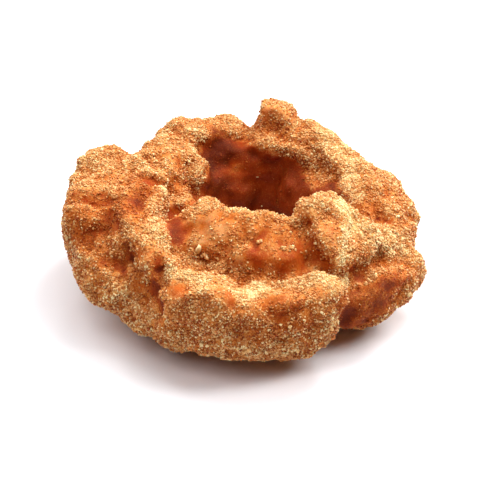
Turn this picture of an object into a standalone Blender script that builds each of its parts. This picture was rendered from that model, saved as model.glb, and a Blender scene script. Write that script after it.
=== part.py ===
"""Churro doughnut: an old-fashioned cake ring whose crust cracked open as it fried.

The ring is one solid. Bent lobes of dough overlap in ring coordinates: a bearing round the
ring's axis (0 at +X, 90 at the back, 270 at the front), a radius and a height. Where two lobes
meet, the dough has a crease. The lobes are fused, grooved along the deepest creases, roughened by
noise and cut flat underneath.
Lengths in the tables are millimetres and angles are degrees; the scene is in metres.
"""

import math
from typing import NamedTuple

import bmesh
import bpy
import numpy as np
from mathutils import Vector, noise

MM = 0.001

# Driving dimensions of the whole ring
OUTER_RADIUS = 38.0
HOLE_RADIUS = 15.8
HOLE_CENTRE = (4.4, 5.0)
CORE_HEIGHT = 10.0
CORE_HALF_DEPTH = 11.3
CORE_POWER = 0.65

# How the underside curves in towards the patch that it rests on
UNDERCUT_START = 11.0
UNDERCUT_AXIS = 28.0
UNDERCUT_SHARE = 0.85
UNDERCUT_POWER = 1.8

# Fusing and roughening
FUSE_VOXEL = 0.8
FUSED_SOFTENING = (2, 0.5)
RELIEF_SOFTENING = (1, 0.3)
THINNED_SOFTENING = (1, 0.1)
RELIEF_SCALES = ((11.0, 1.3), (5.0, 1.0), (2.6, 0.6))
RELIEF_SHIFT = Vector((31.7, 12.9, 54.3))
CRACK_SCALES = ((13.0, 0.9), (6.5, 0.7))
CRACK_SHARPNESS = 6.0
CRACK_SHIFT = Vector((7.1, 88.4, 23.6))
TRIANGLE_BUDGET = 11200
FLOOR_BLOCK = 150.0

# Resolution of one lobe's skin, and of the core's all the way round
RINGS = 40
SIDES = 40
CORE_RINGS = 120

CRUST_COLOUR = (0.46, 0.17, 0.045, 1.0)
CRUST_ROUGHNESS = 0.75


class Lobe(NamedTuple):
    """A fold of dough, bent round the ring."""

    name: str
    bearing: float
    sweep: float
    radius: float
    height: float
    half_width: float
    half_depth: float
    lean: float = 0.0
    climb: float = 0.0
    drift: float = 0.0
    slant: float = 0.0
    end_power: float = 0.7
    side_power: float = 0.75


LOBES = (
    Lobe(
        "left crown", 171.5, 24.5, 35.0, 23.6, 12.2, 7.2, lean=-3, climb=-0.8,
        end_power=0.35, side_power=0.45,
    ),
    Lobe("left skirt", 195, 38, 33.6, 15.5, 13.0, 8.8, drift=-1.5),
    Lobe("left shoulder", 205, 42, 29.5, 18.5, 8.0, 12.5, climb=-2.5, drift=3.5, side_power=0.6),
    Lobe("back left lobe", 111, 23.5, 33.0, 18.4, 9.0, 13.9, end_power=0.6, side_power=0.6),
    Lobe(
        "tongue by the hole", 148, 30, 28.8, 17.5, 9.5, 13.6, lean=10, drift=1.0, slant=-4.5,
        end_power=0.35, side_power=0.5,
    ),
    Lobe("back left petal", 127, 25, 33.0, 12.5, 10.0, 11.5, climb=1.5, end_power=0.5, side_power=0.6),
    Lobe("back right petal", 68, 27, 33.5, 13.5, 10.0, 12.0, climb=-2.0, end_power=0.5, side_power=0.6),
    Lobe("petal left", 251, 17, 35.8, 13.8, 7.0, 12.6, end_power=0.4, side_power=0.42),
    Lobe(
        "petal right", 282, 20.2, 35.8, 12.9, 7.0, 11.7, climb=0.6, slant=3.4,
        end_power=0.16, side_power=0.3,
    ),
    Lobe("collar left", 257, 56, 19.5, 23.4, 11, 6, lean=-36, drift=2.5, end_power=0.4, side_power=0.6),
    Lobe("collar right", 324.7, 18.3, 23.0, 21.3, 10.6, 12.0, lean=-30, end_power=0.4, side_power=0.45),
    Lobe("nub", 77.5, 8.6, 35.2, 24.7, 5.0, 11.3, end_power=0.3, side_power=0.4),
    Lobe("back saddle", 74, 30, 31.8, 17.3, 8.8, 13.9, lean=4, end_power=0.5, side_power=0.45),
    Lobe("back ridge", 30, 45, 30.5, 19.0, 7.5, 11.8, climb=3.0),
    Lobe("funnel", 28, 44, 25.5, 12.5, 9.0, 13.0),
    Lobe("right flank", 20, 48, 32.5, 14.8, 11.3, 11.7, drift=-0.8),
    Lobe("right low lobe", 328, 21, 34.9, 10.2, 10.3, 9.2, drift=3.3, end_power=0.6, side_power=0.4),
    Lobe("lower left fold", 224, 17, 34.0, 9.2, 7.4, 7.5),
    Lobe("valley by the pit", 166, 16, 19.5, 15.5, 7.5, 10.0),
)


class Crease(NamedTuple):
    """A groove where two folds meet, along a path of bearings, radii and heights."""

    name: str
    depth: float
    reach: float
    path: tuple


CREASES = (
    Crease("behind the petal", 2.5, 2.0, (
        (232, 27.4, 26.4), (248, 26.5, 24.6), (266, 28.2, 24.4), (283, 29.8, 24.4), (304, 31.7, 23.3),
    )),
    Crease("under the crown", 1.5, 2.0, ((181, 45.9, 26.4), (187, 42.5, 29.0), (185, 36.2, 30.1))),
    Crease("left of the shoulder", 1.5, 2.0, (
        (196, 35.3, 28.1), (208, 35.7, 29.0), (215, 36.3, 27.3), (227, 38.7, 21.6), (229, 38.9, 17.4),
    )),
    Crease("left of the petal", 2.8, 2.1, (
        (233, 34.7, 27.3), (236, 37.1, 25.0), (239, 41.7, 22.0), (237, 42.5, 16.0),
    )),
    Crease("down the collar", 1.5, 1.8, ((285, 19.3, 31.4), (275, 24.3, 28.8), (276, 27.7, 26.5))),
    Crease("left of the knob", 0.9, 1.8, ((305, 21.2, 29.6), (306, 26.0, 28.0), (301, 27.8, 25.5))),
    Crease("right of the knob", 2.0, 2.0, (
        (337, 29.1, 31.8), (330, 31.5, 29.9), (318, 33.5, 29.2), (313, 34.4, 26.6),
    )),
    Crease("beside the nub", 3.2, 2.8, ((89.5, 27.0, 31.0), (89.5, 36.0, 31.0), (89.5, 41.0, 27.0))),
    Crease("on the back rim", 1.1, 3.5, ((99, 30.0, 32.5), (98, 37.0, 32.0))),
    Crease("on the crown's back edge", 0.9, 3.5, ((157, 41.0, 31.0), (168, 44.0, 30.5))),
    Crease("above the far wall", 3.0, 4.5, ((113, 24.5, 28.5), (97, 25.5, 30.0))),
    Crease("across the flank", 1.3, 1.6, ((337, 31.2, 31.0), (351, 33.3, 24.4), (350, 36.9, 24.4))),
)


def signed_power(value, power):
    """A power that keeps the sign, for the corners of a superellipse."""
    return math.copysign(abs(value) ** power, value)


def undercut(radius, height):
    """The radius drawn in where the underside curves towards the floor."""
    if radius < UNDERCUT_AXIS or height > UNDERCUT_START:
        return radius
    depth = min(1.0, (UNDERCUT_START - height) / UNDERCUT_START)
    return radius - UNDERCUT_SHARE * depth**UNDERCUT_POWER * (radius - UNDERCUT_AXIS)


def ring_point(bearing, radius, height):
    """A point in ring coordinates, as metres in the scene."""
    angle = math.radians(bearing)
    radius = undercut(radius, height)
    return Vector((radius * math.cos(angle), radius * math.sin(angle), height)) * MM


def lobe_point(lobe, along, across, up):
    """A point of a lobe from its own coordinates, each -1 to 1 at the skin's furthest reach."""
    lean = math.radians(lobe.lean)
    out = across * lobe.half_width
    rise = up * lobe.half_depth
    radius = lobe.radius + lobe.drift * along + out * math.cos(lean) - rise * math.sin(lean)
    height = lobe.height + lobe.climb * along + out * math.sin(lean) + rise * math.cos(lean)
    bearing = lobe.bearing + along * lobe.sweep + up * lobe.slant
    return ring_point(bearing, radius, height)


def add_closed_skin(mesh, rows, tip_start, tip_end):
    """Faces between rows of points, closed by a fan at each tip."""
    loops = [[mesh.verts.new(point) for point in row] for row in rows]
    for lower, upper in zip(loops, loops[1:]):
        for i in range(len(lower)):
            j = (i + 1) % len(lower)
            mesh.faces.new((lower[i], lower[j], upper[j], upper[i]))
    for tip, loop, order in ((tip_start, loops[0], -1), (tip_end, loops[-1], 1)):
        end = mesh.verts.new(tip)
        for i in range(len(loop)):
            j = (i + 1) % len(loop)
            mesh.faces.new((loop[i], loop[j], end)[::order])


def add_lobe(mesh, lobe):
    """A bent superellipsoid."""
    rows = []
    for ring in range(1, RINGS):
        turn = math.pi * (ring / RINGS - 0.5)
        along = signed_power(math.sin(turn), lobe.end_power)
        girth = signed_power(math.cos(turn), lobe.end_power)
        row = []
        for side in range(SIDES):
            angle = 2 * math.pi * side / SIDES
            across = girth * signed_power(math.cos(angle), lobe.side_power)
            up = girth * signed_power(math.sin(angle), lobe.side_power)
            row.append(lobe_point(lobe, along, across, up))
        rows.append(row)
    add_closed_skin(mesh, rows, lobe_point(lobe, -1, 0, 0), lobe_point(lobe, 1, 0, 0))


def hole_reach(bearing):
    """Distance from the ring's axis to the wall of the hole, whose own centre is off the axis."""
    angle = math.radians(bearing)
    ahead = HOLE_CENTRE[0] * math.cos(angle) + HOLE_CENTRE[1] * math.sin(angle)
    aside = HOLE_CENTRE[1] * math.cos(angle) - HOLE_CENTRE[0] * math.sin(angle)
    return ahead + math.sqrt(HOLE_RADIUS**2 - aside**2)


def add_core(mesh):
    """The plain ring that the lobes grow from, wider on the side away from the hole's centre."""
    loops = []
    for step in range(CORE_RINGS):
        bearing = 360 * step / CORE_RINGS
        inner = hole_reach(bearing)
        middle = (OUTER_RADIUS + inner) / 2
        reach = (OUTER_RADIUS - inner) / 2
        loop = []
        for side in range(SIDES):
            angle = 2 * math.pi * side / SIDES
            out = middle + reach * signed_power(math.cos(angle), CORE_POWER)
            up = CORE_HEIGHT + CORE_HALF_DEPTH * signed_power(math.sin(angle), CORE_POWER)
            loop.append(mesh.verts.new(ring_point(bearing, out, up)))
        loops.append(loop)
    for step in range(CORE_RINGS):
        lower, upper = loops[step - 1], loops[step]
        for side in range(SIDES):
            mesh.faces.new((lower[side - 1], lower[side], upper[side], upper[side - 1]))


def fuse(obj):
    """Replaces the object's overlapping or folded skins by one skin round them all."""
    remesh = obj.modifiers.new("Fuse", "REMESH")
    remesh.mode = "VOXEL"
    remesh.voxel_size = FUSE_VOXEL * MM
    bake(obj)


def bake(obj):
    """Makes the evaluated shape the object's own mesh."""
    bpy.context.view_layer.update()
    graph = bpy.context.evaluated_depsgraph_get()
    shape = bpy.data.meshes.new_from_object(obj.evaluated_get(graph))
    old = obj.data
    obj.modifiers.clear()
    obj.data = shape
    bpy.data.meshes.remove(old)


def relief(point):
    """Height of the crust's relief at a point, in metres: bumps, less the cracks between them."""
    bumps = 0.0
    for scale, depth in RELIEF_SCALES:
        bumps += depth * noise.noise(point / (scale * MM) + RELIEF_SHIFT)
    cracks = 0.0
    for scale, depth in CRACK_SCALES:
        off_crack = CRACK_SHARPNESS * abs(noise.noise(point / (scale * MM) + CRACK_SHIFT))
        cracks += depth * math.exp(-off_crack * off_crack)
    return (bumps - cracks) * MM


def off_stretch(points, start, end):
    """Distance of each point from the straight stretch between two others."""
    along = end - start
    share = np.clip((points - start) @ along / (along @ along), 0, 1)
    return np.linalg.norm(points - start - share[:, None] * along, axis=1)


def crease_depths(points):
    """How deep the creases press the skin in at each point, in metres."""
    depths = np.zeros(len(points))
    for crease in CREASES:
        stops = [np.array(ring_point(*stop)) for stop in crease.path]
        stretches = [off_stretch(points, start, end) for start, end in zip(stops, stops[1:])]
        off = np.min(stretches, axis=0) / (crease.reach * MM)
        depths += crease.depth * MM * np.exp(-off * off)
    return depths


def soften(obj, passes, factor):
    """Rounds the creases and fills the pinholes that fusing and thinning leave."""
    mesh = bmesh.new()
    mesh.from_mesh(obj.data)
    for _ in range(passes):
        bmesh.ops.smooth_vert(
            mesh, verts=mesh.verts, factor=factor, use_axis_x=True, use_axis_y=True, use_axis_z=True
        )
    mesh.to_mesh(obj.data)
    mesh.free()


def roughen(obj):
    """Pushes the skin in and out by the relief, and in along the creases."""
    mesh = bmesh.new()
    mesh.from_mesh(obj.data)
    mesh.normal_update()
    depths = crease_depths(np.array([vert.co for vert in mesh.verts])).tolist()
    moves = [vert.normal * (relief(vert.co) - depth) for vert, depth in zip(mesh.verts, depths)]
    for vert, move in zip(mesh.verts, moves):
        vert.co += move
    mesh.to_mesh(obj.data)
    mesh.free()


def thin_out(obj):
    """Brings the triangle count under the budget."""
    obj.data.calc_loop_triangles()
    decimate = obj.modifiers.new("Thin out", "DECIMATE")
    decimate.use_collapse_triangulate = True
    decimate.ratio = TRIANGLE_BUDGET / len(obj.data.loop_triangles)
    bake(obj)


def floor_cutter():
    """A block whose top is the floor."""
    size = FLOOR_BLOCK * MM
    bpy.ops.mesh.primitive_cube_add(size=size, location=(0, 0, -size / 2))
    cutter = bpy.context.object
    cutter.name = "floor cutter"
    cutter.hide_render = True
    cutter.display_type = "WIRE"
    return cutter


def cut_flat(obj):
    """Cuts the underside level, so that the ring rests on a flat patch."""
    cutter = floor_cutter()
    boolean = obj.modifiers.new("Rest flat", "BOOLEAN")
    boolean.operation = "DIFFERENCE"
    boolean.solver = "EXACT"
    boolean.object = cutter
    bake(obj)
    bpy.data.objects.remove(cutter)


def centre_on_box(obj):
    """Puts the origin at the middle of the bounding box's underside."""
    xs = [vert.co.x for vert in obj.data.vertices]
    ys = [vert.co.y for vert in obj.data.vertices]
    shift = Vector(((min(xs) + max(xs)) / 2, (min(ys) + max(ys)) / 2, 0))
    for vert in obj.data.vertices:
        vert.co -= shift


def crust_material():
    """Fried crust under its sugar, seen from afar as one orange-brown."""
    material = bpy.data.materials.new("crust")
    material.use_nodes = True
    shader = material.node_tree.nodes["Principled BSDF"]
    shader.inputs["Base Color"].default_value = CRUST_COLOUR
    shader.inputs["Roughness"].default_value = CRUST_ROUGHNESS
    return material


def make_doughnut():
    """The whole ring, fused from its core and lobes."""
    mesh = bmesh.new()
    add_core(mesh)
    for lobe in LOBES:
        add_lobe(mesh, lobe)
    bmesh.ops.recalc_face_normals(mesh, faces=mesh.faces)
    data = bpy.data.meshes.new("doughnut")
    mesh.to_mesh(data)
    mesh.free()
    doughnut = bpy.data.objects.new("doughnut", data)
    bpy.context.collection.objects.link(doughnut)
    fuse(doughnut)
    soften(doughnut, *FUSED_SOFTENING)
    roughen(doughnut)
    fuse(doughnut)
    soften(doughnut, *RELIEF_SOFTENING)
    thin_out(doughnut)
    soften(doughnut, *THINNED_SOFTENING)
    cut_flat(doughnut)
    centre_on_box(doughnut)
    doughnut.data.materials.clear()
    doughnut.data.materials.append(crust_material())
    doughnut.data.polygons.foreach_set("use_smooth", [True] * len(doughnut.data.polygons))
    return doughnut


def main():
    for obj in list(bpy.data.objects):
        bpy.data.objects.remove(obj, do_unlink=True)
    make_doughnut()


main()
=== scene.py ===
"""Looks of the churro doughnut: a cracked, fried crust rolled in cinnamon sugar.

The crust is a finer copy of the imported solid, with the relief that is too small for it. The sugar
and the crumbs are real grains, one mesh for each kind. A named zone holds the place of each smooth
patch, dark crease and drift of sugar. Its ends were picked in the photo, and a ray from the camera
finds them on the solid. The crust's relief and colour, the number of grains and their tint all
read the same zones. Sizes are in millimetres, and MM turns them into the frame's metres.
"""

import math
from typing import NamedTuple

import bmesh
import bpy
import numpy as np
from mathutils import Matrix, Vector, noise
from mathutils.bvhtree import BVHTree

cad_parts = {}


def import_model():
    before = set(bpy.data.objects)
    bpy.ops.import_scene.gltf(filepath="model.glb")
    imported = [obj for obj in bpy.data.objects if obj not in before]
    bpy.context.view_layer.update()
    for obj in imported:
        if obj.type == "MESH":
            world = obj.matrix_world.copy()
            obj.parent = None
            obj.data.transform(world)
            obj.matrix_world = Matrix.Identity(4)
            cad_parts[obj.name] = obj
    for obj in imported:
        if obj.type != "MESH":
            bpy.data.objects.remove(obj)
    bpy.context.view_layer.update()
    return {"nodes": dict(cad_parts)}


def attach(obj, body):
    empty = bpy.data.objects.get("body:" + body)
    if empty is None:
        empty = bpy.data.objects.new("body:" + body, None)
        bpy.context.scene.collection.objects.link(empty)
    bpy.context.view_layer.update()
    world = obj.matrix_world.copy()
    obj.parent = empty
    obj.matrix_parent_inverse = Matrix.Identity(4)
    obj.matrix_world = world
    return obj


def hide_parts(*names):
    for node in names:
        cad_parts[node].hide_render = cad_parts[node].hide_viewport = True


MM = 0.001
SEED = 20
LOOKS = ("sugar", "gold", "bake")


class Zone(NamedTuple):
    """A stretch of crust from one pixel of the photo to another, and what is special there.

    Its reach is how far it spreads to the sides. It may hold more or less sugar, be more golden or
    browner, be baked darker or paler, and be pressed in, or bulge where its dent is below 0. Some
    zones paint shade this way, in creases, pits and gaps and under overhangs, and some paint a
    highlight or a glow, as their comments say.
    """

    start: tuple
    end: tuple
    reach: float
    sugar: float = 0.0
    gold: float = 0.0
    bake: float = 0.0
    dent: float = 0.0


class Heap(NamedTuple):
    """Crumbs of about this size, strewn from one pixel of the photo to another."""

    start: tuple
    end: tuple
    count: int
    size: float


class Grains(NamedTuple):
    """One kind of sugar grain. Its spread is how uneven its size is, and a high tint is pale.

    Its bare weight is how readily it lies on a place without sugar. A thick coat has about 1.
    """

    name: str
    size: float
    spread: float
    tint: float
    bare_weight: float


class Drift(NamedTuple):
    """Noise over the crust: the feature size and strength of each layer, and where it is read."""

    layers: tuple
    shift: Vector


class Mottle(NamedTuple):
    """Noise in a material: its feature size, its finer levels and how strong they are."""

    size: float
    detail: float
    roughness: float


# Crust's faces, how often they are smoothed and how crisp their edges stay
CRUST_VOXEL = 0.545
FACET_SOFTENING = 5
CRISP_SOFTENING = 20
CRISPNESS = 0.7
BROAD_SOFTENING = 30
SOFTENING_STEP = 0.5
RESTING_BELOW = 0.5

# Fine relief: lumps, cracks between clods, and the least share of both that bare crust keeps
LUMPS = Drift(((2.6, 0.3), (1.25, 0.16)), Vector((5.3, 61.7, 18.2)))
CLOD_SCALE = 3.4
CLOD_GAP = 0.16
CLOD_DEPTH = 0.3
CLOD_SHIFT = Vector((73.1, 4.6, 39.8))
BARE_RELIEF = 0.4

# Looks of the crust where no zone lies, and what its small hollows and its tops change: painted shade in
# the hollows, painted light on the bumps and on tops that face up
SUGAR_LEVEL = 0.8
MOST_SUGAR = 1.2
SUGAR_DRIFT = Drift(((4.6, 0.3), (1.7, 0.3)), Vector((2.2, 7.7, 31.0)))
GOLD_DRIFT = Drift(((6.5, 0.7), (2.2, 0.5)), Vector((12.5, 3.1, 8.6)))
BAKE_DRIFT = Drift(((7.0, 0.35), (2.6, 0.22)), Vector((4.4, 15.8, 22.1)))
PAINTED_TOP_LIGHT = 0.75
HOLLOW_SCALE = 0.35
HOLLOW_LIMIT = 1.5
HOLLOW_SUGAR = 0.25
HOLLOW_SHADE_BUMP_LIGHT = 0.5
HOLLOW_PAINTED_SHADE = 0.35

# Hole's wall, which is bare and dark, and where most of the bake's drift is taken away
HOLE_AXIS = (5.3, 5.3)
HOLE_REACH = 20.0
HOLE_TOP = 28.0
HOLE_BLEND = 3.5
HOLE_LOOKS = {"sugar": -1.0, "bake": 0.85}
HOLE_CALM = 0.75

# How far the edges of the zones wander
ZONE_WARP = 1.1
ZONE_WARP_SCALE = 3.5
ZONE_WARP_SHIFTS = [Vector((9.1 * k, 3.7, 1.3)) for k in (1, 2, 3)]

ZONES = {
    # Crown and skirt
    "crown's golden top": Zone((85, 160), (145, 164), 4.6, sugar=0.15, gold=0.3, bake=-0.1),
    "crown's corner": Zone((84, 163), (92, 160), 2.4, dent=-0.8),
    "crown's brow": Zone((76, 182), (106, 186), 2.6, sugar=0.25, gold=0.25, bake=0.1),
    "crown's left edge": Zone((70, 200), (70, 226), 2.4, sugar=0.1, gold=-0.2),
    # Painted shade: the crust under the crown's edge is barer and darker.
    "under the crown": Zone((70, 198), (103, 192), 1.9, sugar=-0.4, bake=0.3),
    # Painted shade: the crust is darker in the crown's right crease, over its dent.
    "crown's right crease": Zone((147, 155), (158, 170), 1.3, sugar=-0.2, gold=-0.3, bake=0.3, dent=0.9),
    "brown hollow": Zone((104, 206), (118, 226), 2.8, sugar=-0.3, gold=-0.5, bake=0.4, dent=0.2),
    "skirt's pink face": Zone((76, 214), (80, 238), 3.6, sugar=-0.35, gold=-0.9, bake=0.2),
    "skirt's brown face": Zone((96, 236), (104, 262), 4.0, sugar=-0.1, gold=-0.5, bake=0.2),
    # Painted shade: the skirt's pits are darker, over their dents.
    "skirt's upper pit": Zone((124, 247), (131, 257), 1.1, sugar=-0.4, gold=-0.3, bake=0.7, dent=0.35),
    "skirt's lower pit": Zone((123, 272), (126, 279), 1.1, sugar=-0.4, gold=-0.3, bake=0.6, dent=0.3),
    "skirt's brown patch": Zone((106, 262), (120, 268), 2.2, sugar=-0.3, gold=-0.3, bake=0.3, dent=0.2),
    "skirt's foot": Zone((92, 296), (100, 304), 3.0, sugar=0.2, gold=0.5, bake=-0.2),
    # Shoulder, and the folds between the skirt and the petal
    "left facet": Zone((147, 182), (130, 210), 3.8, sugar=-0.4, gold=-1.0, bake=0.7, dent=0.1),
    "orange spot": Zone((149, 182), (154, 190), 1.6, sugar=-0.3, bake=-0.05, dent=0.1),
    "small orange spot": Zone((137, 222), (143, 228), 1.2, sugar=-0.35, dent=0.1),
    "valley": Zone((146, 166), (164, 190), 2.6, sugar=0.3, gold=0.35, bake=-0.25),
    "valley, right": Zone((166, 192), (182, 199), 1.8, sugar=0.4, gold=0.5, bake=-0.2),
    "pale bank": Zone((158, 208), (151, 234), 2.2, sugar=0.4, gold=0.8, bake=-0.5),
    "bank below the pit": Zone((162, 243), (190, 258), 2.4, sugar=0.4, gold=0.7, bake=-0.3),
    # Painted shade: the thin crease is darker, over its dent.
    "thin crease": Zone((140, 230), (155, 244), 0.8, sugar=-0.3, gold=-0.3, bake=0.6, dent=0.3),
    "front fold's brown": Zone((141, 254), (158, 264), 2.0, sugar=-0.4, gold=-0.4, bake=0.4, dent=0.1),
    "front fold's pink face": Zone((136, 284), (148, 298), 2.2, sugar=-0.35, gold=-0.6, bake=0.1),
    "lower left face": Zone((125, 296), (150, 310), 4.0, sugar=0.1, gold=0.4, bake=-0.15),
    # Painted shade: the petal's crease is darker, over its dent.
    "petal's crease": Zone((158, 272), (157, 292), 1.3, sugar=-0.3, gold=-0.3, bake=0.7, dent=0.6),
    "petal's crease, low": Zone((152, 288), (160, 310), 1.9, sugar=-0.5, gold=-0.5, bake=0.9, dent=1.2),
    # Pit at the collar's left end
    "sugar above the pit": Zone((172, 199), (177, 205), 1.9, sugar=0.9, gold=0.4, bake=-1.0),
    "pit, top": Zone((173, 207), (173, 214), 2.0, sugar=-1.0, bake=0.15),
    "pit, middle": Zone((170, 222), (175, 238), 2.3, sugar=-1.0, bake=0.8),
    "pit, low": Zone((172, 238), (182, 246), 2.0, sugar=-0.5, bake=0.3, dent=0.1),
    "pit's right end": Zone((180, 215), (185, 225), 2.6, sugar=-0.3, bake=0.2),
    "pit's right side": Zone((188, 206), (200, 222), 2.4, sugar=-0.35, gold=-0.2, bake=0.1),
    # Collar
    "collar's crest": Zone((198, 208), (278, 219), 1.2, sugar=0.5, gold=0.5, bake=-0.2),
    "collar's bare face": Zone((190, 234), (222, 232), 3.4, sugar=-0.35, gold=0.3, bake=-0.3),
    "collar's bare face, low": Zone((205, 250), (250, 260), 3.0, sugar=-0.35, gold=0.1, bake=0.15),
    "white dough": Zone((191, 247), (203, 243), 1.9, sugar=-0.3, bake=-0.35),
    "white dough, right": Zone((238, 258), (243, 258), 1.1, sugar=-0.3, bake=-0.6),
    "white dough, high": Zone((210, 217), (218, 214), 1.4, sugar=-0.2, bake=-0.25),
    "collar's middle": Zone((224, 216), (250, 228), 3.6, sugar=-0.35, gold=-0.3, bake=0.1),
    # Painted shade: the collar's crease is darker.
    "collar's crease": Zone((266, 228), (256, 246), 1.1, sugar=-0.15, gold=-0.3, bake=0.2),
    "collar's crease, low": Zone((256, 248), (262, 266), 1.0, sugar=-0.15, gold=-0.2, bake=0.15),
    "collar, right": Zone((268, 224), (290, 240), 3.6, sugar=-0.3),
    "collar, right, low": Zone((258, 262), (300, 264), 3.0, sugar=-0.4, gold=-0.1, bake=0.2),
    "collar, far right": Zone((306, 240), (300, 258), 2.6, sugar=-0.3, gold=-0.1, bake=0.1),
    "collar's orange face": Zone((266, 247), (293, 251), 3.4, sugar=-0.3, gold=-0.3, bake=0.3),
    "sugar by the knob": Zone((296, 222), (310, 238), 1.6, sugar=0.5, gold=0.6, bake=-0.2),
    "sugar at the foot": Zone((196, 266), (246, 269), 1.8, sugar=0.25, gold=0.6, bake=-0.5, dent=-0.5),
    # Knob and the yellow ridge beside it
    "knob's top": Zone((310, 200), (332, 200), 2.4, sugar=0.2, gold=0.3, bake=-0.1),
    "knob's red patch": Zone((306, 216), (316, 244), 2.8, sugar=-0.35, gold=-0.2, bake=0.2),
    "knob's glowing face": Zone((329, 228), (334, 264), 2.2, sugar=-0.4, gold=0.9, bake=0.2),
    "knob's foot": Zone((300, 262), (322, 266), 2.0, sugar=-0.3, gold=0.1, bake=0.05),
    "yellow ridge": Zone((343, 204), (352, 226), 2.8, sugar=0.1, gold=3.6, bake=-1.3),
    "yellow ridge, low": Zone((347, 232), (343, 258), 1.8, sugar=0.2, gold=3.0, bake=-1.1),
    # Far wall of the hole, and the funnel at its right
    "hole's left edge": Zone((200, 170), (196, 190), 1.5, sugar=0.8, gold=0.5, bake=-0.9),
    "far wall, left": Zone((207, 168), (218, 190), 3.0, sugar=-0.4, gold=-0.3, bake=0.45),
    "far wall, high left": Zone((214, 156), (216, 176), 4.0, sugar=-1.0, gold=-0.3, bake=0.9),
    "far wall, upper left": Zone((220, 152), (244, 149), 3.0, sugar=-0.7, gold=-0.4, bake=0.5),
    "far wall, top": Zone((236, 156), (262, 155), 2.6, sugar=-0.5, bake=0.4),
    "far wall, right": Zone((285, 165), (292, 178), 3.0, sugar=-0.1, gold=-0.4, bake=0.1),
    "sugared rim": Zone((288, 150), (300, 158), 2.6, sugar=0.5, gold=-0.1, bake=-0.35),
    "sugared slope": Zone((306, 165), (320, 182), 3.2, sugar=0.8, gold=0.1, bake=-0.5),
    "funnel's band": Zone((304, 180), (324, 186), 1.8, sugar=-0.1, gold=-0.3, bake=0.2),
    # Painted shade: the funnel's crevice is darker, over its dent.
    "funnel's crevice": Zone((330, 184), (338, 194), 1.7, sugar=-0.5, gold=-0.1, bake=0.7, dent=0.2),
    "funnel's golden side": Zone((346, 172), (358, 196), 2.2, sugar=0.4, gold=1.1, bake=-0.4),
    # Back of the ring, from left to right
    "back left's red spot": Zone((166, 154), (178, 166), 1.7, sugar=-0.35, gold=-0.1, bake=0.25, dent=0.1),
    "tongue's orange spot": Zone((172, 178), (180, 186), 1.4, sugar=-0.5, gold=0.2, dent=0.1),
    "tongue's foot": Zone((188, 188), (196, 194), 1.8, sugar=-0.1, gold=-0.2, bake=0.3),
    "tongue's golden edge": Zone((203, 132), (200, 174), 2.4, sugar=0.4, gold=0.7, bake=-0.3),
    "red spot by the hole": Zone((211, 128), (222, 131), 1.7, sugar=-0.4, bake=0.3, dent=0.1),
    "dark sugared patch": Zone((214, 136), (228, 147), 3.2, sugar=-0.4, gold=-0.6, bake=0.8),
    "orange glow": Zone((240, 128), (250, 129), 1.6, sugar=-0.25, gold=0.2, bake=-0.1),
    # The nub's face is bare crust, made paler and more golden as a painted glow.
    "nub's bare face, painted glow": Zone((264, 110), (282, 113), 2.6, sugar=-0.5, gold=0.3, bake=-0.25),
    "rim": Zone((262, 132), (300, 140), 3.0, sugar=-0.1, gold=-0.3, bake=0.2),
    "rim, right": Zone((300, 148), (318, 158), 3.0, sugar=0.1, gold=-0.2, bake=0.2),
    "back right slope": Zone((312, 124), (345, 156), 3.6, sugar=0.3, gold=0.5, bake=-0.2),
    "slope's orange spot": Zone((320, 132), (328, 137), 1.3, sugar=-0.35, gold=0.1, bake=0.05, dent=0.1),
    "slope's golden crest": Zone((330, 140), (356, 170), 3.0, sugar=0.2, gold=0.6, bake=-0.2),
    # Right flank
    "flank's golden crest": Zone((376, 168), (398, 192), 3.0, sugar=0.1, gold=0.4, bake=-0.1),
    "flank's high spots": Zone((366, 172), (380, 184), 2.6, sugar=-0.25, gold=0.1, bake=0.05),
    "flank's orange patch": Zone((358, 208), (372, 212), 1.5, sugar=-0.5, bake=0.05, dent=0.15),
    # Painted shade: the flank's crease is darker, over its dent.
    "flank's crease": Zone((376, 218), (390, 220), 0.8, sugar=-0.5, bake=0.35, dent=0.2),
    "flank's golden face": Zone((372, 238), (400, 240), 3.6, sugar=0.3, gold=1.2, bake=-0.5),
    "flank's golden face, low": Zone((376, 252), (398, 254), 3.0, sugar=0.2, gold=0.8, bake=-0.4),
    "flank's low patch": Zone((386, 262), (404, 266), 1.8, sugar=-0.4, gold=-0.1, bake=0.2, dent=0.1),
    "flank's dark face": Zone((388, 278), (404, 282), 3.0, sugar=-0.35, gold=-0.5, bake=0.6),
    # Low lobe at the front right, and its shelf
    # Painted shade: the shelf's crevice is darker, over its dent.
    "shelf's crevice": Zone((350, 268), (358, 278), 1.5, sugar=-0.5, gold=-0.2, bake=0.5, dent=0.2),
    "shelf's edge": Zone((352, 284), (378, 272), 1.3, sugar=0.4, gold=0.5, bake=-0.2),
    # Painted shadow: the low lobe's side in the petal's shadow is darker.
    "painted shadow behind the petal": Zone((342, 300), (345, 328), 2.0, sugar=-0.3, gold=-0.5, bake=0.6),
    "low facet": Zone((350, 304), (382, 298), 4.6, sugar=-0.5, gold=-0.6, bake=1.15),
    "low facet, right": Zone((374, 294), (396, 286), 2.8, sugar=-0.15, gold=-0.5, bake=0.3),
    "low facet, low": Zone((352, 316), (376, 314), 3.2, sugar=-0.15, gold=-0.5, bake=0.35),
    "low facet's foot": Zone((345, 322), (366, 322), 2.4, sugar=-0.1, gold=-0.5, bake=0.4),
    "low facet's shaded foot": Zone((346, 326), (362, 324), 2.6, sugar=-0.2, gold=-0.6, bake=0.7),
    # Petal
    "petal's golden top": Zone((168, 272), (200, 280), 2.4, sugar=0.4, gold=1.2, bake=-0.4),
    "petal's golden top, middle": Zone((205, 286), (262, 290), 2.8, sugar=0.4, gold=1.2, bake=-0.4),
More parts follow.
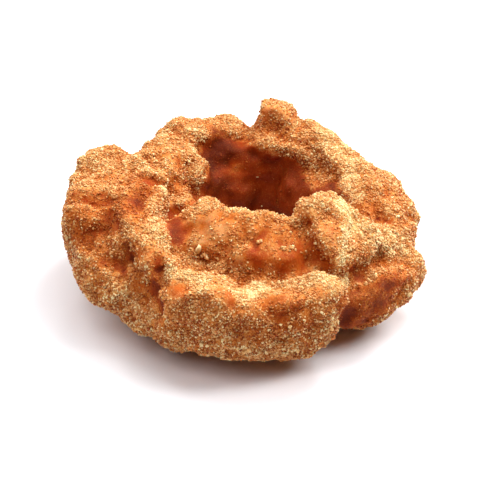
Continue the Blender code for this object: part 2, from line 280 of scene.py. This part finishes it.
    "petal's golden top, right": Zone((290, 284), (312, 280), 2.0, sugar=0.4, gold=0.9, bake=-0.4),
    "petal's golden corner": Zone((322, 277), (340, 281), 2.4, sugar=0.5, gold=1.5, bake=-0.3),
    "petal's corner": Zone((339, 284), (336, 290), 2.2, sugar=0.1, gold=0.3, dent=-1.1),
    # The petal's cut end is sugared, and its extra gold is a painted highlight where light falls on it.
    "petal's end, painted highlight": Zone((341, 284), (332, 324), 1.2, sugar=0.4, gold=1.2, bake=-0.3),
    "petal's orange patch": Zone((172, 284), (182, 294), 2.2, sugar=-0.55, gold=-0.1, bake=0.2),
    "petal's brown patch": Zone((212, 284), (230, 298), 2.3, sugar=-0.65, gold=-0.3, bake=0.55),
    "petal's right spot": Zone((315, 283), (322, 293), 1.4, sugar=-0.45, gold=-0.1, bake=0.15),
    "petal's orange fold": Zone((266, 297), (290, 299), 1.3, sugar=-0.35, gold=0.2, bake=-0.05),
    "petal's pale hollow": Zone((262, 287), (243, 302), 1.9, sugar=0.5, gold=1.2, bake=-0.5),
    # Painted shade: the crust under the petal's ledge is darker.
    "painted shade under the petal's ledge": Zone((240, 306), (300, 300), 2.0, sugar=-0.2, gold=-0.3, bake=0.35),
    "petal's pink face": Zone((270, 318), (300, 326), 4.0, sugar=-0.15, gold=-0.6, bake=0.1),
    "petal's foot": Zone((240, 350), (290, 352), 2.6, sugar=0.2, gold=0.4, bake=-0.1),
}

# Sugar grains: wedges with three corners below and three above
GRAIN_KINDS = (
    Grains("sugar_golden", size=0.34, spread=0.2, tint=0.57, bare_weight=0.003),
    Grains("sugar_amber", size=0.34, spread=0.2, tint=0.45, bare_weight=0.006),
    Grains("sugar_pale", size=0.33, spread=0.25, tint=0.68, bare_weight=0.001),
    Grains("sugar_cinnamon", size=0.31, spread=0.25, tint=0.33, bare_weight=0.012),
)
GRAIN_COUNT = 24000
WEDGE = ((-1, -0.8), (1, -0.8), (0, 1))
GRAIN_CORNERS = np.array([(x, y, z) for z in (-1, 1) for x, y in WEDGE], float)
GRAIN_FACES = np.array([
    (0, 2, 1), (3, 4, 5), (0, 1, 4), (0, 4, 3), (1, 2, 5), (1, 5, 4), (2, 0, 3), (2, 3, 5),
])
CORNER_JITTER = 0.25
SIDE_RATIOS = (0.7, 1.3)

# Where grains lie: how they gather in thick sugar, thin out at the foot, sink in and pile up
BARE_BELOW = 0.15
GATHERING = 1.5
FOOT_HEIGHT = 3.0
FOOT_SHARE = 0.25
FLOOR_GAP = 0.35
SINK = 0.1
PILE = 0.72

# How the tint of grains varies by chance, more widely on steep crust as painted glints and painted shade,
# and with the crust's looks, which carry their painted light and shade
TINT_SPREAD = 0.09
STEEP_PAINTED_GLINTS = 0.28
TINT_GOLD = 0.15
TINT_BAKE = 0.3
TINT_THIN = 0.15
THIN_SUGAR = 0.6

# Crumbs
HEAPS = {
    "on the petal's left": Heap((200, 246), (207, 268), 6, 1.25),
    "foot of the collar": Heap((281, 247), (306, 255), 12, 0.8),
    "in the collar's crease": Heap((255, 238), (262, 243), 4, 0.85),
    "bean": Heap((354, 234), (358, 238), 1, 1.9),
    "under the bean": Heap((346, 250), (356, 246), 3, 0.9),
    "hanging at the petal's end": Heap((329, 330), (326, 344), 6, 1.0),
    "petal's foot, right": Heap((276, 354), (300, 351), 10, 0.9),
    "petal's foot, left": Heap((196, 342), (240, 350), 8, 0.8),
    "crest of the collar": Heap((198, 208), (278, 219), 22, 0.65),
    "edge of the petal": Heap((240, 282), (320, 276), 16, 0.7),
    "left foot": Heap((124, 316), (150, 332), 6, 0.8),
    "edge of the knob": Heap((300, 205), (312, 200), 5, 0.7),
    "shelf": Heap((352, 286), (376, 274), 7, 0.8),
    "low lobe's edge": Heap((380, 320), (408, 296), 9, 0.75),
    "bank by the pit": Heap((160, 230), (190, 252), 8, 0.7),
    "top of the tongue": Heap((150, 150), (160, 180), 6, 0.7),
}
STRAY_CRUMBS = 260
STRAY_SIZE = 0.6
STRAY_FLOOR = 1.5
CRUMB_SUBDIVISIONS = 2
CRUMB_SPREAD = 0.25
CRUMB_SCATTER = 0.45
CRUMB_RATIOS = (0.5, 0.85)
CRUMB_ROUGHNESS = 0.3
CRUMB_SWELL_LIMIT = 1.5
CRUMB_LIFT = 0.2
CRUMB_TINT = 0.84

# Colours of bare crust, from hardly baked to darkest, and of sugar, from cinnamon to almost clear
WHITE_DOUGH = (0.88, 0.65, 0.34)
PALE_DOUGH = (0.65, 0.28, 0.095)
ORANGE_CRUST = (0.56, 0.13, 0.01)
RED_CRUST = (0.38, 0.05, 0.003)
BROWN_CRUST = (0.24, 0.028, 0.002)
DARK_CRUST = (0.12, 0.013, 0.001)
CINNAMON = (0.33, 0.05, 0.004)
AMBER = (0.51, 0.133, 0.02)
TAN = (0.69, 0.265, 0.07)
GOLD = (0.83, 0.47, 0.17)
CREAM = (0.95, 0.76, 0.39)

# Crust's material: colours by bake where it is bare, and by gold where fine sugar covers it
BARE_COLOURS = (
    (0.0, WHITE_DOUGH), (0.25, PALE_DOUGH), (0.45, ORANGE_CRUST), (0.63, RED_CRUST),
    (0.8, BROWN_CRUST), (1.0, DARK_CRUST),
)
BAKE_RANGE = (-0.75, 1.65)
BAKE_MOTTLE = Mottle(0.75, 5.0, 0.8)
BAKE_MOTTLING = 0.6
DUST_COLOURS = ((0.34, CINNAMON), (0.5, AMBER), (0.63, TAN), (0.82, GOLD))
DUST_MOTTLE = Mottle(0.45, 3.0, 0.7)
DUST_GOLD = 0.13
COVER_RANGE = (0.78, 1.25)
COVER_MOTTLE = Mottle(0.3, 3.0, 0.75)
COVER_MOTTLING = 1.5
MOST_COVER = 0.9
BARE_ROUGHNESS = 0.55
DUST_ROUGHNESS = 0.85
CRUST_SPECULAR = 0.1
CRUST_TRANSLUCENCY = 0.3
CRUST_GLOW_DEPTH = 3.5
CRUST_GLOW_SHARES = (1.0, 0.3, 0.08)
BUMP_MOTTLE = Mottle(0.5, 4.0, 0.65)
BUMP_STRENGTH = 0.7
BUMP_HEIGHT = 0.25

# Material of the grains and crumbs: colours by tint
GRAIN_COLOURS = ((0.05, CINNAMON), (0.32, AMBER), (0.55, TAN), (0.78, GOLD), (1.0, CREAM))
GRAIN_ROUGHNESS = 0.4
GRAIN_SPECULAR = 0.22

# Floor
FLOOR_SIZE = 6000.0
FLOOR_COLOUR = (0.92, 0.94, 0.98)
FLOOR_ROUGHNESS = 0.9

# Panels of soft light: bearing from the frame's X axis, elevation, watts
PANELS = (
    (45, 28, 3.65), (135, 28, 2.0), (0, 45, 1.95), (45, 62, 1.8), (0, 62, 1.35), (135, 62, 1.05),
    (0, 80, 0.75), (90, 62, 0.46), (90, 45, 0.3), (180, 62, 0.3), (315, 62, 0.24),
)
WARM_PANELS = ((225, 66, 0.58), (270, 72, 0.58), (225, 52, 0.56), (215, 40, 0.3))
PANEL_DISTANCE = 750.0
PANEL_SIZE = 260.0
PANEL_COLOUR = (1.0, 0.995, 0.985)
WARM_COLOUR = (1.0, 0.9, 0.89)
WORLD_COLOUR = (1.0, 1.0, 1.0)
WORLD_STRENGTH = 0.03

# Camera
CAMERA_ELEVATION = 35.0
CAMERA_DISTANCE = 345.5
CAMERA_TARGET = (-0.9, 0.0, 13.8)
CAMERA_LENS = 100.0
CAMERA_CLIP_START = 10.0
SENSOR_WIDTH = 36.0
PHOTO_WIDTH = 480


def noise_at(points, scale, shift):
    """Smooth noise about 0 at each point, with features of about this size."""
    step = 1 / (scale * MM)
    return np.array([noise.noise(Vector(point) * step + shift) for point in points.tolist()])


def drift_at(points, drift):
    """The layers of a drift, added up."""
    total = np.zeros(len(points))
    for k, (scale, strength) in enumerate(drift.layers):
        total += strength * noise_at(points, scale, drift.shift * (k + 1))
    return total


def clod_gaps(points):
    """1 on the borders of an irregular honeycomb and 0 inside its cells."""
    step = 1 / (CLOD_SCALE * MM)
    gaps = []
    for point in points.tolist():
        near = noise.voronoi(Vector(point) * step + CLOD_SHIFT)[0]
        gaps.append(near[1] - near[0])
    return np.exp(-((np.array(gaps) / CLOD_GAP) ** 2))


def closeness(points, start, end, reach):
    """1 along the line from start to end, falling smoothly to 0 past its reach."""
    along = end - start
    share = np.clip((points - start) @ along / (along @ along), 0, 1)
    off = np.linalg.norm(points - start - share[:, None] * along, axis=1)
    return np.exp(-((off / reach) ** 3))


def warped(points):
    """The points moved about a little, so that a zone read there has an uneven edge."""
    shifts = [noise_at(points, ZONE_WARP_SCALE, shift) for shift in ZONE_WARP_SHIFTS]
    return points + ZONE_WARP * MM * np.stack(shifts, axis=1)


def in_hole(points):
    """1 on the wall of the hole, falling to 0 at its rim."""
    off_axis = np.hypot(points[:, 0] - HOLE_AXIS[0] * MM, points[:, 1] - HOLE_AXIS[1] * MM)
    near = np.clip((HOLE_REACH * MM - off_axis) / (HOLE_BLEND * MM), 0, 1)
    return near * np.clip((HOLE_TOP * MM - points[:, 2]) / (HOLE_BLEND * MM), 0, 1)


def zone_sums(points, photo):
    """How far the zones change the sugar, its gold, the bake and the dents at each point.

    The calm is the share of the bake's drift that is left there.
    """
    read = warped(points)
    sums = dict.fromkeys((*LOOKS, "dent"), 0.0)
    for zone in ZONES.values():
        near = closeness(read, photo.spot(zone.start), photo.spot(zone.end), zone.reach * MM)
        sums = {what: total + near * getattr(zone, what) for what, total in sums.items()}
    inside = in_hole(read)
    sums = {what: total + inside * HOLE_LOOKS.get(what, 0) for what, total in sums.items()}
    return sums | {"calm": 1 - HOLE_CALM * inside}


def mesh_arrays(mesh):
    """Points, edges and triangles of a mesh."""
    points = np.empty(len(mesh.vertices) * 3)
    mesh.vertices.foreach_get("co", points)
    edges = np.empty(len(mesh.edges) * 2, np.int32)
    mesh.edges.foreach_get("vertices", edges)
    mesh.calc_loop_triangles()
    triangles = np.empty(len(mesh.loop_triangles) * 3, np.int32)
    mesh.loop_triangles.foreach_get("vertices", triangles)
    return points.reshape(-1, 3), edges.reshape(-1, 2), triangles.reshape(-1, 3)


def normals_of(mesh):
    """The way the mesh faces at each point."""
    normals = np.empty(len(mesh.vertices) * 3, np.float32)
    mesh.vertex_normals.foreach_get("vector", normals)
    return normals.reshape(-1, 3).astype(float)


def set_points(mesh, points):
    """Moves the points of a mesh to new places."""
    mesh.vertices.foreach_set("co", points.ravel())
    mesh.update()


def set_attribute(mesh, name, values):
    """Stores one value for each point of a mesh under this name."""
    attribute = mesh.attributes.new(name, "FLOAT", "POINT")
    attribute.data.foreach_set("value", values.astype(np.float32))


def attribute_of(mesh, name):
    """The value that each point of a mesh has under this name."""
    values = np.empty(len(mesh.vertices), np.float32)
    mesh.attributes[name].data.foreach_get("value", values)
    return values


def mesh_from(name, points, faces):
    """A mesh of these points and triangles."""
    mesh = bpy.data.meshes.new(name)
    mesh.vertices.add(len(points))
    mesh.vertices.foreach_set("co", points.ravel())
    mesh.loops.add(faces.size)
    mesh.loops.foreach_set("vertex_index", faces.ravel())
    mesh.polygons.add(len(faces))
    mesh.polygons.foreach_set("loop_start", np.arange(len(faces)) * 3)
    mesh.update(calc_edges=True)
    return mesh


def camera_place():
    """Where the camera stands, and how it is turned."""
    elevation = math.radians(CAMERA_ELEVATION)
    away = Vector((0, -math.cos(elevation), math.sin(elevation)))
    return (Vector(CAMERA_TARGET) + away * CAMERA_DISTANCE) * MM, away.to_track_quat("Z", "Y")


class Photo:
    """Finds what shows at a pixel, counted right and down from the photo's top left corner."""

    def __init__(self, solid):
        points, _, triangles = mesh_arrays(solid.data)
        self.surface = BVHTree.FromPolygons(points.tolist(), triangles.tolist())
        self.eye, self.turn = camera_place()

    def spot(self, pixel):
        """The point of the solid that the pixel shows."""
        right, down = (SENSOR_WIDTH / CAMERA_LENS * (place / PHOTO_WIDTH - 0.5) for place in pixel)
        return np.array(self.surface.ray_cast(self.eye, self.turn @ Vector((right, -down, -1)))[0])


def softened(points, edges, passes):
    """The points, each drawn towards the middle of its neighbours again and again."""
    size = len(points)
    both = np.concatenate([edges, edges[:, ::-1]])
    count = np.bincount(both[:, 0], minlength=size)
    for _ in range(passes):
        around = [np.bincount(both[:, 0], points[both[:, 1], k], size) / count for k in range(3)]
        points = points + SOFTENING_STEP * (np.stack(around, axis=1) - points)
    return points


def fine_copy(node):
    """A new object with the solid's shape in even, much smaller faces."""
    crust = bpy.data.objects.new("crust", node.data.copy())
    bpy.context.scene.collection.objects.link(crust)
    remesh = crust.modifiers.new("Fine faces", "REMESH")
    remesh.mode = "VOXEL"
    remesh.voxel_size = CRUST_VOXEL * MM
    bpy.context.view_layer.update()
    graph = bpy.context.evaluated_depsgraph_get()
    fine = bpy.data.meshes.new_from_object(crust.evaluated_get(graph))
    crust.modifiers.clear()
    crust.data = fine
    return crust


def relief(points, zones):
    """How far each point is moved out: lumps less the cracks between clods, and less the dents."""
    kept = np.clip(1 + np.minimum(zones["sugar"], 0), BARE_RELIEF, 1)
    height = drift_at(points, LUMPS) - CLOD_DEPTH * clod_gaps(points)
    return height * kept - zones["dent"]


def hollowness(mesh, points, edges):
    """How deep each point lies under the broad shape: above 0 in a hollow, below 0 on a bump."""
    depth = ((softened(points, edges, BROAD_SOFTENING) - points) * normals_of(mesh)).sum(axis=1)
    return np.clip(depth / (HOLLOW_SCALE * MM), -HOLLOW_LIMIT, HOLLOW_LIMIT)


def set_looks(mesh, points, zones, hollow):
    """Stores how much sugar the crust holds at each point, how golden it is, and how baked. Its hollows
    get painted shade, and its bumps and the tops that face up get painted light.
    """
    # Painted shade: the hollows get less sugar, less gold and a darker bake.
    sunk = np.maximum(hollow, 0)
    sugar = SUGAR_LEVEL + zones["sugar"] + drift_at(points, SUGAR_DRIFT)
    set_attribute(mesh, "sugar", np.clip(sugar - HOLLOW_SUGAR * sunk, 0, MOST_SUGAR))
    # Painted light: bumps, and crust that faces up, are made more golden, as if lit from above.
    top_light = np.maximum(normals_of(mesh)[:, 2], 0)
    gold = zones["gold"] + drift_at(points, GOLD_DRIFT)
    set_attribute(mesh, "gold", gold + PAINTED_TOP_LIGHT * top_light - HOLLOW_SHADE_BUMP_LIGHT * hollow)
    bake = drift_at(points, BAKE_DRIFT) + HOLLOW_PAINTED_SHADE * sunk
    set_attribute(mesh, "bake", zones["bake"] + zones["calm"] * bake)


def make_crust(node, photo):
    """The crust with its fine relief, and its looks stored as attributes on its points."""
    crust = fine_copy(node)
    mesh = crust.data
    points, edges, _ = mesh_arrays(mesh)
    resting = points[:, 2] < RESTING_BELOW * MM
    points = softened(points, edges, FACET_SOFTENING)
    points += CRISPNESS * (points - softened(points, edges, CRISP_SOFTENING))
    set_points(mesh, points)
    zones = zone_sums(points, photo)
    points = points + normals_of(mesh) * (relief(points, zones) * MM)[:, None]
    points[:, 2] = np.where(resting, 0, np.maximum(points[:, 2], 0))
    set_points(mesh, points)
    set_looks(mesh, points, zones, hollowness(mesh, points, edges))
    mesh.polygons.foreach_set("use_smooth", [True] * len(mesh.polygons))
    return crust


def scattered(crust, rng, count, bare_weight):
    """Random places on the crust, more where there is more sugar: points, normals and looks."""
    mesh = crust.data
    points, _, triangles = mesh_arrays(mesh)
    values = {name: attribute_of(mesh, name)[triangles] for name in LOOKS}
    corners = points[triangles]
    cross = np.cross(corners[:, 1] - corners[:, 0], corners[:, 2] - corners[:, 0])
    sugared = np.maximum(values["sugar"].mean(axis=1) - BARE_BELOW, 0) ** GATHERING
    weight = np.linalg.norm(cross, axis=1) * np.maximum(sugared, bare_weight)
    height = corners[:, :, 2].mean(axis=1)
    weight *= np.clip(height / (FOOT_HEIGHT * MM), FOOT_SHARE, 1) * (height > FLOOR_GAP * MM)
    chosen = rng.choice(len(triangles), size=count, p=weight / weight.sum())
    shares = rng.dirichlet((1, 1, 1), size=count)
    place = (corners[chosen] * shares[:, :, None]).sum(axis=1)
    facing = (normals_of(mesh)[triangles[chosen]] * shares[:, :, None]).sum(axis=1)
    facing /= np.linalg.norm(facing, axis=1)[:, None]
    looks = {name: (value[chosen] * shares).sum(axis=1) for name, value in values.items()}
    return place, facing, looks


def turned(shapes, rng):
    """The shapes, each turned at random, every direction alike."""
    q = rng.normal(size=(len(shapes), 4))
    w, x, y, z = (q / np.linalg.norm(q, axis=1)[:, None]).T
    turns = np.array([
        [1 - 2 * (y * y + z * z), 2 * (x * y - z * w), 2 * (x * z + y * w)],
        [2 * (x * y + z * w), 1 - 2 * (x * x + z * z), 2 * (y * z - x * w)],
        [2 * (x * z - y * w), 2 * (y * z + x * w), 1 - 2 * (x * x + y * y)],
    ]).transpose(2, 0, 1)
    return np.einsum("nij,nkj->nki", turns, shapes)


def joined(name, shapes, faces, middles, sizes, tints):
    """One object of many small shapes, each 2 across before it gets its size, none in the floor."""
    count, corners, _ = shapes.shape
    points = middles[:, None, :] + shapes * (sizes / 2)[:, None, None]
    points[:, :, 2] = np.maximum(points[:, :, 2], 0)
    faces = faces[None] + (corners * np.arange(count))[:, None, None]
    mesh = mesh_from(name, points.reshape(-1, 3), faces.reshape(-1, 3))
    set_attribute(mesh, "tint", tints)
    piece = bpy.data.objects.new(name, mesh)
    bpy.context.scene.collection.objects.link(piece)
    return piece


def make_grains(crust, kind, rng):
    """A joined mesh of blocky crystals on the crust, each with its own tint."""
    place, facing, looks = scattered(crust, rng, GRAIN_COUNT, kind.bare_weight)
    size = kind.size * MM * np.exp(kind.spread * rng.normal(size=GRAIN_COUNT))
    sides = rng.uniform(*SIDE_RATIOS, size=(GRAIN_COUNT, 1, 3))
    jitter = rng.uniform(-CORNER_JITTER, CORNER_JITTER, (GRAIN_COUNT, len(GRAIN_CORNERS), 3))
    shapes = turned(GRAIN_CORNERS[None] * sides + jitter, rng)
    lift = size * rng.uniform(SINK, PILE, size=GRAIN_COUNT) ** 2
    # Painted glints and painted shade: on steep crust, grains spread further to pale and to dark.
    tint_and_glint_spread = TINT_SPREAD + STEEP_PAINTED_GLINTS * (1 - np.abs(facing[:, 2]))
    tint = kind.tint + tint_and_glint_spread * rng.normal(size=GRAIN_COUNT)
    tint += TINT_GOLD * looks["gold"] - TINT_BAKE * np.maximum(looks["bake"], 0)
    tint -= TINT_THIN * np.maximum(THIN_SUGAR - looks["sugar"], 0)
    tints = np.repeat(tint, len(GRAIN_CORNERS))
    return joined(kind.name, shapes, GRAIN_FACES, place + facing * lift[:, None], size, tints)


def crumb_places(crust, photo, rng):
    """The place of each crumb, the way its crust faces, and its length in millimetres."""
    points = mesh_arrays(crust.data)[0]
    normals = normals_of(crust.data)
    places, facings, sizes = [], [], []
    for heap in HEAPS.values():
        start, end = photo.spot(heap.start), photo.spot(heap.end)
        along = rng.uniform(size=(heap.count, 1)) * (end - start)
        wanted = start + along + CRUMB_SCATTER * MM * rng.normal(size=(heap.count, 3))
        nearest = [int(np.argmin(((points - spot) ** 2).sum(axis=1))) for spot in wanted]
        places.append(points[nearest])
        facings.append(normals[nearest])
        sizes.append(np.full(heap.count, heap.size))
    place, facing, _ = scattered(crust, rng, STRAY_CRUMBS, 0)
    high = place[:, 2] > STRAY_FLOOR * MM
    places.append(place[high])
    facings.append(facing[high])
    sizes.append(np.full(high.sum(), STRAY_SIZE))
    return np.concatenate(places), np.concatenate(facings), np.concatenate(sizes)


def ball():
    """Points and triangles of a ball, 2 across."""
    mesh = bmesh.new()
    bmesh.ops.create_icosphere(mesh, subdivisions=CRUMB_SUBDIVISIONS, radius=1)
    points = np.array([vert.co for vert in mesh.verts])
    faces = np.array([[vert.index for vert in face.verts] for face in mesh.faces])
    mesh.free()
    return points, faces


def make_crumbs(crust, photo, rng):
    """A joined mesh of craggy crumbs that stick to the crust."""
    place, facing, size = crumb_places(crust, photo, rng)
    count = len(place)
    size = size * MM * np.exp(CRUMB_SPREAD * rng.normal(size=count))
    corners, faces = ball()
    ratios = rng.uniform(*CRUMB_RATIOS, size=(count, 1, 3))
    ratios[:, :, 0] = 1
    swell = rng.normal(size=(count, len(corners), 1)).clip(-CRUMB_SWELL_LIMIT, CRUMB_SWELL_LIMIT)
    shapes = turned(corners[None] * ratios * (1 + CRUMB_ROUGHNESS * swell), rng)
    middle = place + facing * (CRUMB_LIFT * size)[:, None]
    tint = CRUMB_TINT + TINT_SPREAD * rng.normal(size=count)
    tints = np.repeat(tint, len(corners)) + TINT_SPREAD * rng.normal(size=count * len(corners))
    return joined("crumbs", shapes, faces, middle, size, tints)


def new_material(name):
    """A plain material, its node tree and its shader."""
    material = bpy.data.materials.new(name)
    material.use_nodes = True
    tree = material.node_tree
    return material, tree, tree.nodes["Principled BSDF"]


def attribute_value(tree, name):
    """The value that the mesh has stored under this name."""
    node = tree.nodes.new("ShaderNodeAttribute")
    node.attribute_name = name
    return node.outputs["Fac"]


def colour_ramp(tree, value, stops):
    """The colour for this value, blended between stops of a value and a colour each."""
    node = tree.nodes.new("ShaderNodeValToRGB")
    ramp = node.color_ramp
    while len(ramp.elements) < len(stops):
        ramp.elements.new(0.5)
    for element, (place, colour) in zip(ramp.elements, stops):
        element.position = place
        element.color = (*colour, 1)
    tree.links.new(value, node.inputs["Fac"])
    return node.outputs["Color"]


def mottle_value(tree, mottle):
    """Noise from 0 to 1 that is fixed to the object."""
    place = tree.nodes.new("ShaderNodeTexCoord")
    node = tree.nodes.new("ShaderNodeTexNoise")
    node.inputs["Scale"].default_value = 1 / (mottle.size * MM)
    node.inputs["Detail"].default_value = mottle.detail
    node.inputs["Roughness"].default_value = mottle.roughness
    tree.links.new(place.outputs["Object"], node.inputs["Vector"])
    return node.outputs["Fac"]


def scaled_sum(tree, value, factor, other):
    """The value times a number, plus another value."""
    node = tree.nodes.new("ShaderNodeMath")
    node.operation = "MULTIPLY_ADD"
    tree.links.new(value, node.inputs[0])
    node.inputs[1].default_value = factor
    tree.links.new(other, node.inputs[2])
    return node.outputs["Value"]


def mapped(tree, value, old_range, new_range=(0.0, 1.0)):
    """The value moved from one range to another, and held inside it."""
    node = tree.nodes.new("ShaderNodeMapRange")
    for name, number in zip(("From Min", "From Max", "To Min", "To Max"), old_range + new_range):
        node.inputs[name].default_value = number
    tree.links.new(value, node.inputs["Value"])
    return node.outputs["Result"]


def mixed(tree, share, first, second):
    """The first colour, with this share of the second."""
    node = tree.nodes.new("ShaderNodeMix")
    node.data_type = "RGBA"
    tree.links.new(share, node.inputs["Factor"])
    tree.links.new(first, node.inputs["A"])
    tree.links.new(second, node.inputs["B"])
    return node.outputs["Result"]


def add_bumps(tree, shader):
    """Pores and grit that are too fine for the crust's mesh."""
    bump = tree.nodes.new("ShaderNodeBump")
    bump.inputs["Strength"].default_value = BUMP_STRENGTH
    bump.inputs["Distance"].default_value = BUMP_HEIGHT * MM
    tree.links.new(mottle_value(tree, BUMP_MOTTLE), bump.inputs["Height"])
    tree.links.new(bump.outputs["Normal"], shader.inputs["Normal"])


def crust_material():
    """Fried crust where it is bare, and a dusting of the finest sugar over it elsewhere."""
    material, tree, shader = new_material("crust")
    baked = attribute_value(tree, "bake")
    bake = scaled_sum(tree, mottle_value(tree, BAKE_MOTTLE), BAKE_MOTTLING, baked)
    bare = colour_ramp(tree, mapped(tree, bake, BAKE_RANGE), BARE_COLOURS)
    golden = attribute_value(tree, "gold")
    gold = scaled_sum(tree, golden, DUST_GOLD, mottle_value(tree, DUST_MOTTLE))
    dust = colour_ramp(tree, gold, DUST_COLOURS)
    sugared = attribute_value(tree, "sugar")
    sugar = scaled_sum(tree, mottle_value(tree, COVER_MOTTLE), COVER_MOTTLING, sugared)
    cover = mapped(tree, sugar, COVER_RANGE, (0.0, MOST_COVER))
    roughness = mapped(tree, cover, (0.0, MOST_COVER), (BARE_ROUGHNESS, DUST_ROUGHNESS))
    tree.links.new(mixed(tree, cover, bare, dust), shader.inputs["Base Color"])
    tree.links.new(roughness, shader.inputs["Roughness"])
    shader.inputs["Specular IOR Level"].default_value = CRUST_SPECULAR
    shader.inputs["Subsurface Weight"].default_value = CRUST_TRANSLUCENCY
    shader.inputs["Subsurface Radius"].default_value = CRUST_GLOW_SHARES
    shader.inputs["Subsurface Scale"].default_value = CRUST_GLOW_DEPTH * MM
    add_bumps(tree, shader)
    return material


def grain_material(name):
    """Sugar crystals, from coated in cinnamon to almost clear."""
    material, tree, shader = new_material(name)
    colour = colour_ramp(tree, attribute_value(tree, "tint"), GRAIN_COLOURS)
    tree.links.new(colour, shader.inputs["Base Color"])
    shader.inputs["Roughness"].default_value = GRAIN_ROUGHNESS
    shader.inputs["Specular IOR Level"].default_value = GRAIN_SPECULAR
    return material


def make_pieces(solid):
    """The crust, the four kinds of sugar and the crumbs, each with its material."""
    rng = np.random.default_rng(SEED)
    photo = Photo(solid)
    crust = make_crust(solid, photo)
    toppings = [make_grains(crust, kind, rng) for kind in GRAIN_KINDS]
    toppings.append(make_crumbs(crust, photo, rng))
    crust.data.materials.clear()
    crust.data.materials.append(crust_material())
    for topping in toppings:
        topping.data.materials.append(grain_material(topping.name))
    return [crust, *toppings]


def make_floor():
    """The white surface under the doughnut, which belongs to the stage."""
    bpy.ops.mesh.primitive_plane_add(size=FLOOR_SIZE * MM)
    floor = bpy.context.object
    floor.name = "floor"
    material, _, shader = new_material("floor")
    shader.inputs["Base Color"].default_value = (*FLOOR_COLOUR, 1)
    shader.inputs["Roughness"].default_value = FLOOR_ROUGHNESS
    floor.data.materials.append(material)


def add_panel(colour, bearing, elevation, watts):
    """A round softbox that faces the doughnut."""
    turn, rise = math.radians(bearing), math.radians(elevation)
    way = Vector((math.cos(rise) * math.cos(turn), math.cos(rise) * math.sin(turn), math.sin(rise)))
    light = bpy.data.lights.new("panel", "AREA")
    light.shape = "DISK"
    light.size = PANEL_SIZE * MM
    light.energy = watts
    light.color = colour
    holder = bpy.data.objects.new("panel", light)
    holder.location = way * (PANEL_DISTANCE * MM)
    holder.rotation_euler = (-holder.location).to_track_quat("-Z", "Y").to_euler()
    bpy.context.scene.collection.objects.link(holder)


def light_scene():
    """A faint even glow, and panels that are strongest behind the doughnut and at its right."""
    world = bpy.data.worlds.new("studio")
    world.use_nodes = True
    background = world.node_tree.nodes["Background"]
    background.inputs["Color"].default_value = (*WORLD_COLOUR, 1)
    background.inputs["Strength"].default_value = WORLD_STRENGTH
    bpy.context.scene.world = world
    for panel in PANELS:
        add_panel(PANEL_COLOUR, *panel)
    for panel in WARM_PANELS:
        add_panel(WARM_COLOUR, *panel)
    bpy.context.scene.view_settings.view_transform = "Standard"


def make_camera():
    """The camera, where the photo was taken from."""
    data = bpy.data.cameras.new("camera")
    data.lens = CAMERA_LENS
    data.sensor_width = SENSOR_WIDTH
    data.clip_start = CAMERA_CLIP_START * MM
    camera = bpy.data.objects.new("camera", data)
    place, turn = camera_place()
    camera.location = place
    camera.rotation_euler = turn.to_euler()
    bpy.context.scene.collection.objects.link(camera)
    bpy.context.scene.camera = camera


def main():
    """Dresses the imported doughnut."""
    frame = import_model()
    for piece in make_pieces(frame["nodes"]["doughnut"]):
        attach(piece, "root")
        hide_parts("doughnut")
    make_floor()
    light_scene()
    make_camera()


main()
